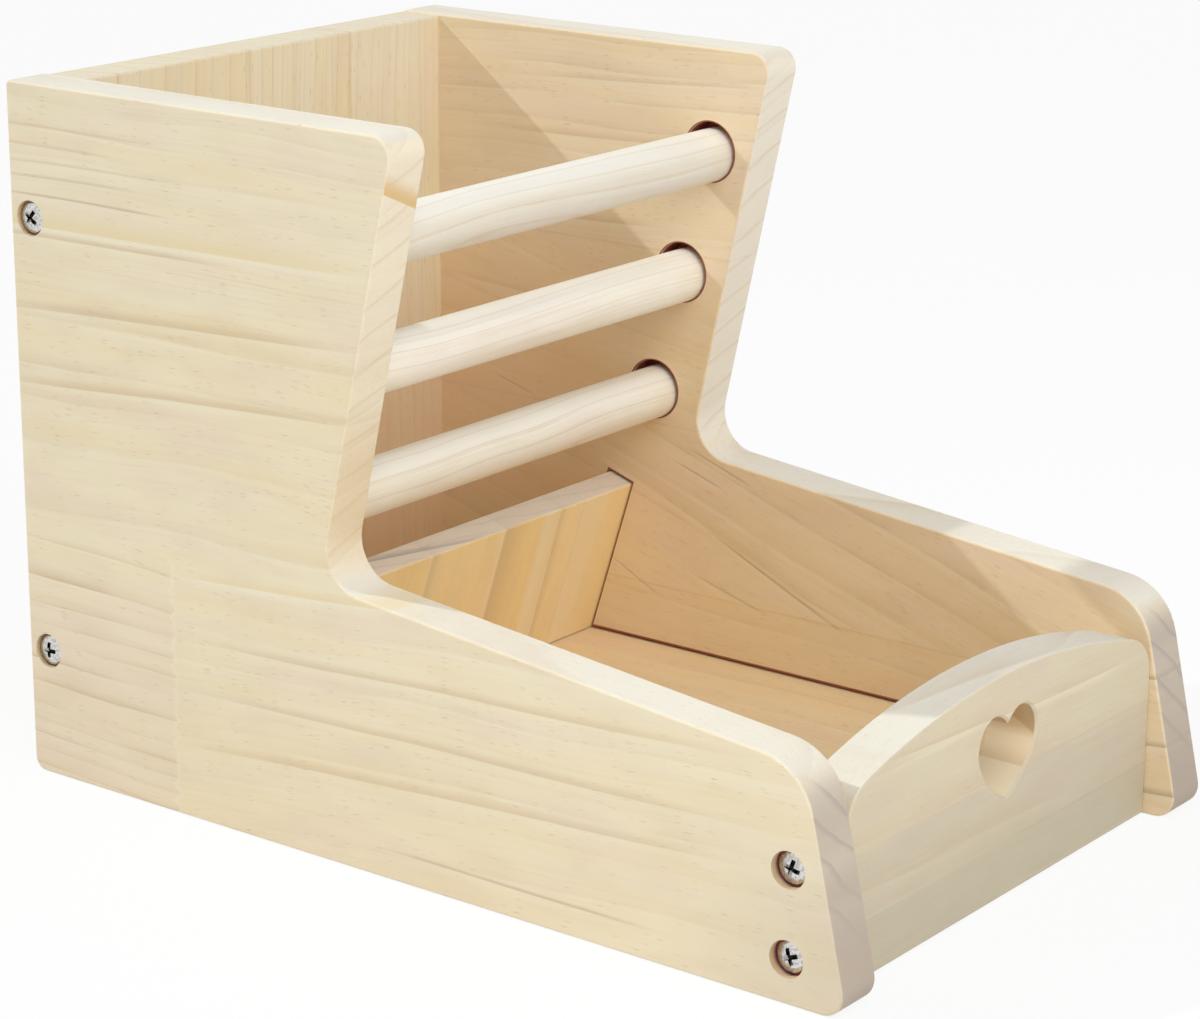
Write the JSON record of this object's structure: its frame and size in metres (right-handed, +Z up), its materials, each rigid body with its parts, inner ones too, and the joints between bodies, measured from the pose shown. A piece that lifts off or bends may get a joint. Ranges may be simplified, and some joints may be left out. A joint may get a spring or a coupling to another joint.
{
  "type": "hay feeder box",
  "caption": "Small-pet hay feeder: a tall hay rack with loose turning rungs above a leaning hay board, over a low open tray with an arched front and a heart cut-out.",
  "frame": {"origin": "under the middle of the feeder, on the surface it stands on", "axes": "+Z up; the front of the tray faces -Y; +X is to the right of someone who faces the front"},
  "size_m": [0.1624, 0.251, 0.18],
  "materials": {
    "side_wood": "sanded, bare",
    "panel_wood": "sanded, bare",
    "thin_wood": "sanded, bare",
    "rung_wood": "sanded, bare",
    "screw_steel": "bright plated"
  },
  "bodies": {
    "box": {"left_side": "side_wood", "right_side": "side_wood", "back_panel": "panel_wood", "front_panel": "panel_wood", "floor_board": "thin_wood", "hay_board": "thin_wood", "left_back_lower_screw": "screw_steel", "left_back_upper_screw": "screw_steel", "left_front_lower_screw": "screw_steel", "left_front_upper_screw": "screw_steel", "right_back_lower_screw": "screw_steel", "right_back_upper_screw": "screw_steel", "right_front_lower_screw": "screw_steel", "right_front_upper_screw": "screw_steel"},
    "lower_rung": {"lower_rung": "rung_wood"},
    "middle_rung": {"middle_rung": "rung_wood"},
    "upper_rung": {"upper_rung": "rung_wood"}
  },
  "joints": [
    {"name": "lower_rung_turn", "type": "hinge", "parent": "box", "child": "lower_rung", "pos_m": [0, 0.03744, 0.08457], "axis": [1, 0, 0], "continuous": true},
    {"name": "middle_rung_turn", "type": "hinge", "parent": "box", "child": "middle_rung", "pos_m": [0, 0.0287, 0.11807], "axis": [1, 0, 0], "continuous": true},
    {"name": "upper_rung_turn", "type": "hinge", "parent": "box", "child": "upper_rung", "pos_m": [0, 0.01997, 0.15157], "axis": [1, 0, 0], "continuous": true}
  ]
}
